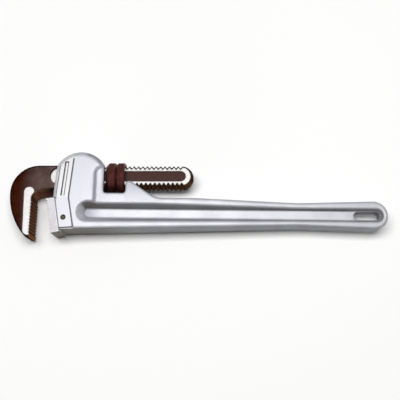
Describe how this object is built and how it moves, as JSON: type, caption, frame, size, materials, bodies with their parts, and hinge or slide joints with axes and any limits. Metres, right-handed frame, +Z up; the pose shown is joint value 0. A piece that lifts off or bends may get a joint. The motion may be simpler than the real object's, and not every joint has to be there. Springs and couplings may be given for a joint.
{
  "type": "pipe wrench",
  "caption": "Straight pipe wrench lying on its side: cast I-section handle with hang slot, toothed heel jaw, rocking hook jaw on a threaded shank, knurled adjusting nut.",
  "frame": {"origin": "on the flat lower side of the head, straight below the shank axis at the centre of the head's dome", "axes": "+X along the shank towards the end of the handle, +Y from the shank to the dome of the head, +Z up through the thickness of the wrench as it lies on its side"},
  "size_m": [0.3997, 0.0932, 0.034],
  "materials": {
    "cast_aluminium": "fine blasted casting",
    "forged_dark_steel": "dark brown oxide on a forging, bright milled flats",
    "dark_nut_steel": "dark brown oxide, knurled",
    "heel_steel": "pale machined steel",
    "pin_steel": "plain steel, browned",
    "spring_steel": "plain spring steel"
  },
  "bodies": {
    "handle": {"handle_body": "cast_aluminium", "heel_jaw": "heel_steel", "heel_jaw_pin": "pin_steel", "coil_spring": "spring_steel"},
    "jaw_float": {"flat_spring": "spring_steel", "spring_rivet": "spring_steel"},
    "hook": {"hook_jaw": "forged_dark_steel"},
    "nut": {"adjusting_nut": "dark_nut_steel"}
  },
  "joints": [
    {"name": "jaw_rock", "type": "hinge", "parent": "handle", "child": "jaw_float", "pos_m": [0.037, 0, 0.017], "axis": [0, 0, 1], "range_deg": [0, 4], "stiffness_Nm_per_rad": 8, "springref_deg": -5.73, "deforming": ["coil_spring"]},
    {"name": "nut_spin", "type": "hinge", "parent": "jaw_float", "child": "nut", "pos_m": [0.037, 0, 0.017], "axis": [1, 0, 0], "range_deg": [-788.5, 4501]},
    {"name": "hook_slide", "type": "slide", "parent": "jaw_float", "child": "hook", "axis": [-1, 0, 0], "range_m": [-0.0105, 0.06]}
  ],
  "couplings": [
    {"joint": "nut_spin", "follows": "hook_slide", "rad_per_m": 1309}
  ]
}
